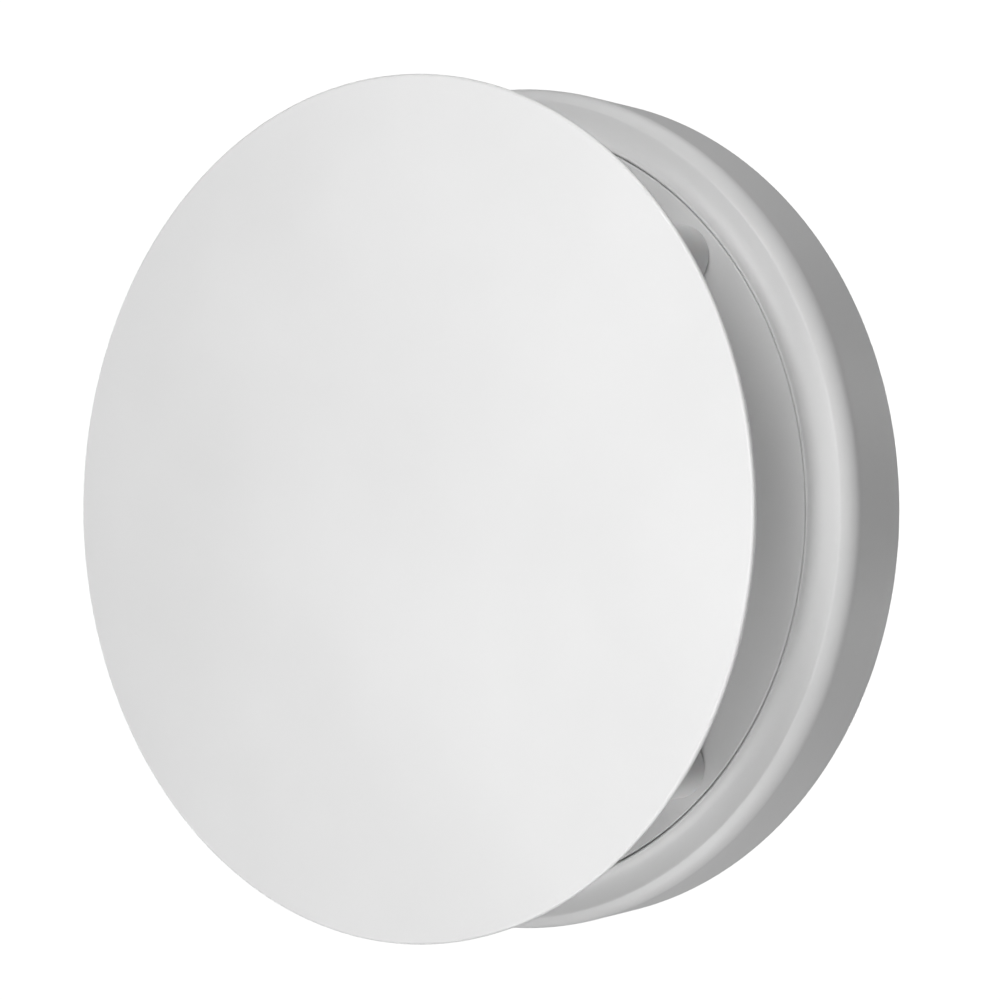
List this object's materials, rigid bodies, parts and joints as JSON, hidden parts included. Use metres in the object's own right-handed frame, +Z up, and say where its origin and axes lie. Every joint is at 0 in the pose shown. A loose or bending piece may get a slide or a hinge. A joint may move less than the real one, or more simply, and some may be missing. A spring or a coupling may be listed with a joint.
{
  "type": "ceiling air diffuser",
  "caption": "Round air diffuser with a flat front plate on four posts, a stepped round body, an adjustable throttle and a duct spigot.",
  "frame": {"origin": "centre of the spigot's axis in the plane of the ceiling, on the circle of ceiling screw holes", "axes": "+Z up the duct, away from the room; the front plate faces -Z; +X and +Y each pass over a ceiling screw hole, and the posts stand at 45 degrees to them"},
  "size_m": [0.1916, 0.1916, 0.0975],
  "materials": {
    "powder_white": "white powder coat, fine texture, satin",
    "post_plastic": "white moulded ABS",
    "zinc_steel": "bright zinc plate",
    "galvanised": "hot-dip galvanised sheet",
    "bright_steel": "turned steel, oiled",
    "spring_steel": "hardened strip, polished",
    "blackened_steel": "phosphated spring steel",
    "bearing_plastic": "natural acetal",
    "dark_plastic": "black moulded polyamide",
    "bush_rubber": "dark grey elastomer",
    "seal_rubber": "black EPDM",
    "gasket_foam": "light grey closed-cell foam",
    "sound_foam": "dark grey open-cell foam",
    "washer_brass": "stamped brass"
  },
  "bodies": {
    "housing": {"socket_bush_1": "bush_rubber", "socket_bush_2": "bush_rubber", "socket_bush_3": "bush_rubber", "socket_bush_4": "bush_rubber", "inlet_ring": "powder_white", "ring_screws": "zinc_steel", "ring_spacers": "zinc_steel", "outer_shell": "powder_white", "spigot_base": "galvanised", "ceiling_gasket": "gasket_foam", "lip_seal": "seal_rubber", "absorber_ring": "sound_foam", "spindle_bridge": "zinc_steel", "bridge_rivets": "zinc_steel", "spindle_bush": "bearing_plastic", "thrust_washer": "washer_brass"},
    "plate": {"front_plate": "powder_white", "plate_studs": "zinc_steel", "plate_post_1": "post_plastic", "plate_post_2": "post_plastic", "plate_post_3": "post_plastic", "plate_post_4": "post_plastic"},
    "spindle": {"spindle": "bright_steel", "spindle_circlip": "blackened_steel", "adjusting_knob": "dark_plastic", "knob_pin": "zinc_steel"},
    "throttle": {"throttle_disc": "powder_white", "throttle_nut": "bearing_plastic", "throttle_seal": "sound_foam", "guide_rods": "zinc_steel"},
    "clip_1": {"spring_clip_1": "spring_steel", "clip_rivets_1": "zinc_steel"},
    "clip_2": {"spring_clip_2": "spring_steel", "clip_rivets_2": "zinc_steel"},
    "clip_3": {"spring_clip_3": "spring_steel", "clip_rivets_3": "zinc_steel"}
  },
  "joints": [
    {"name": "plate_pull", "type": "slide", "parent": "housing", "child": "plate", "axis": [0, 0, -1], "range_m": [0, 0.045]},
    {"name": "spindle_turn", "type": "hinge", "parent": "housing", "child": "spindle", "pos_m": [0, 0, 0], "axis": [0, 0, 1], "range_deg": [-780, 660]},
    {"name": "throttle_travel", "type": "slide", "parent": "housing", "child": "throttle", "axis": [0, 0, 1], "range_m": [-0.0055, 0.0065]},
    {"name": "clip_1_flex", "type": "hinge", "parent": "housing", "child": "clip_1", "pos_m": [0, 0.0623, 0.0065], "axis": [1, 0, 0], "range_deg": [0, 13], "stiffness_Nm_per_rad": 0.06},
    {"name": "clip_2_flex", "type": "hinge", "parent": "housing", "child": "clip_2", "pos_m": [-0.05395, -0.03115, 0.0065], "axis": [-0.5, 0.866, 0], "range_deg": [0, 13], "stiffness_Nm_per_rad": 0.06},
    {"name": "clip_3_flex", "type": "hinge", "parent": "housing", "child": "clip_3", "pos_m": [0.05395, -0.03115, 0.0065], "axis": [-0.5, -0.866, 0], "range_deg": [0, 13], "stiffness_Nm_per_rad": 0.06}
  ],
  "couplings": [
    {"joint": "spindle_turn", "follows": "throttle_travel", "rad_per_m": -2094.4}
  ]
}
